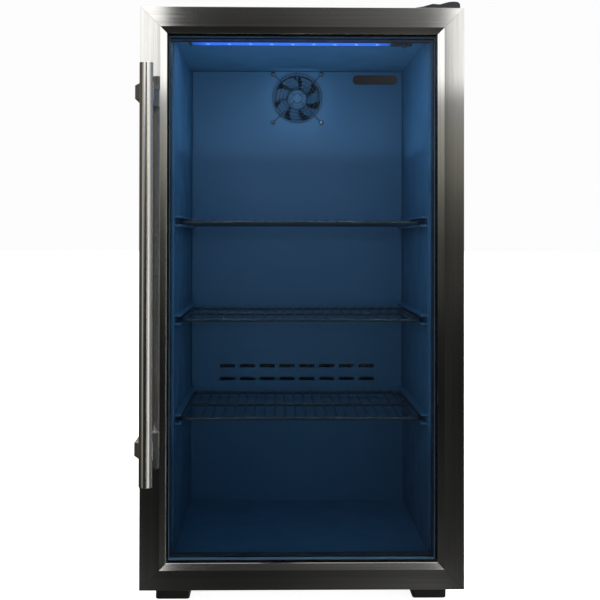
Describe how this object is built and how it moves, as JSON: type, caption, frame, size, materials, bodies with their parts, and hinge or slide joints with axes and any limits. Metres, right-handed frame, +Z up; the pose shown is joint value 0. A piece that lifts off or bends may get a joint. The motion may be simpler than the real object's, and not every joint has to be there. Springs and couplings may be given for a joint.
{
  "type": "mini fridge",
  "caption": "Compact beverage cooler with a hinged glass door in a mitred steel frame, a long bar handle, wire shelves, a lit blue interior and a compressor bay.",
  "frame": {"origin": "on the floor, under the middle of the whole object's box, handle included", "axes": "+Z up, -Y towards the door's front, +X towards the hinge side"},
  "size_m": [0.4493, 0.563, 0.8392],
  "materials": {
    "stainless_trim": "brushed along each piece",
    "handle_steel": "fine brushed",
    "cabinet_black": "fine textured paint",
    "zinc_steel": "zinc plated",
    "black_plastic": "fine grain",
    "nameplate_black": "gloss, blank",
    "liner_blue": "smooth moulded",
    "foam": "cellular",
    "copper": "drawn tube",
    "aluminium": "mill",
    "coated_wire": "thin gloss coating on wire",
    "spacer_black": "anodised black",
    "rubber": "soft",
    "tinted_glass": "lightly tinted, polished",
    "clear_glass": "polished",
    "lamp_lens": "lit blue diffuser",
    "board_white": "solder mask"
  },
  "bodies": {
    "root": {"cabinet_shell": "cabinet_black", "back_panel": "cabinet_black", "bottom_plate": "zinc_steel", "compressor_tray": "zinc_steel", "inner_liner": "liner_blue", "evaporator_cover": "liner_blue", "foam_insulation": "foam", "condenser_coil_left": "copper", "condenser_coil_right": "copper", "evaporator_fins": "aluminium", "evaporator_tube": "aluminium", "fan_guard": "coated_wire", "fan_frame": "liner_blue", "led_housing": "black_plastic", "led_lens": "lamp_lens", "led_board": "board_white", "hinge_bracket_top": "zinc_steel", "hinge_pin_top": "zinc_steel", "hinge_cover_top": "black_plastic", "hinge_bracket_bottom": "zinc_steel", "hinge_pin_bottom": "zinc_steel", "rear_foot_left": "black_plastic", "rear_foot_right": "black_plastic", "compressor": "cabinet_black", "compressor_mount_1": "rubber", "compressor_mount_2": "rubber", "compressor_mount_3": "rubber", "compressor_mount_4": "rubber", "relay_box": "black_plastic", "drip_tray": "black_plastic", "drain_tube": "black_plastic", "suction_tube": "copper", "discharge_tube": "copper", "filter_drier": "copper", "rear_cover": "cabinet_black", "cord_inlet": "rubber"},
    "door": {"door_trim_left": "stainless_trim", "door_trim_right": "stainless_trim", "door_trim_top": "stainless_trim", "door_trim_bottom": "stainless_trim", "door_frame": "black_plastic", "glass_outer": "tinted_glass", "glass_spacer": "spacer_black", "glass_inner": "clear_glass", "door_gasket": "rubber", "nameplate": "nameplate_black", "handle_bar": "handle_steel", "handle_bracket_lower": "handle_steel", "handle_bracket_upper": "handle_steel", "door_bush_top": "black_plastic", "door_bush_bottom": "black_plastic"},
    "fan_rotor": {"fan_blade": "liner_blue"},
    "lower_shelf": {"shelf_lower": "coated_wire"},
    "middle_shelf": {"shelf_middle": "coated_wire"},
    "upper_shelf": {"shelf_upper": "coated_wire"},
    "thermostat": {"thermostat_knob": "black_plastic"},
    "lamp_switch": {"light_switch": "black_plastic"},
    "left_foot": {"front_foot_left": "black_plastic"},
    "right_foot": {"front_foot_right": "black_plastic"}
  },
  "joints": [
    {"name": "door_swing", "type": "hinge", "parent": "root", "child": "door", "pos_m": [0.207, -0.192, 0.028], "axis": [0, 0, 1], "range_deg": [0, 110]},
    {"name": "fan_spin", "type": "hinge", "parent": "root", "child": "fan_rotor", "pos_m": [0, 0.1188, 0.75], "axis": [0, 1, 0], "continuous": true},
    {"name": "lower_shelf_slide", "type": "slide", "parent": "root", "child": "lower_shelf", "axis": [0, -1, 0], "range_m": [0, 0.03]},
    {"name": "middle_shelf_slide", "type": "slide", "parent": "root", "child": "middle_shelf", "axis": [0, -1, 0], "range_m": [0, 0.03]},
    {"name": "upper_shelf_slide", "type": "slide", "parent": "root", "child": "upper_shelf", "axis": [0, -1, 0], "range_m": [0, 0.03]},
    {"name": "thermostat_turn", "type": "hinge", "parent": "root", "child": "thermostat", "pos_m": [0.15, -0.145, 0.797], "axis": [0, 0, 1], "range_deg": [-135, 135]},
    {"name": "lamp_switch_rock", "type": "hinge", "parent": "root", "child": "lamp_switch", "pos_m": [0.15, -0.116, 0.797], "axis": [0, 1, 0], "range_deg": [-14, 0]},
    {"name": "left_foot_turn", "type": "hinge", "parent": "root", "child": "left_foot", "pos_m": [-0.1815, -0.1494, 0], "axis": [0, 0, 1], "continuous": true},
    {"name": "right_foot_turn", "type": "hinge", "parent": "root", "child": "right_foot", "pos_m": [0.1815, -0.1494, 0], "axis": [0, 0, 1], "continuous": true}
  ]
}
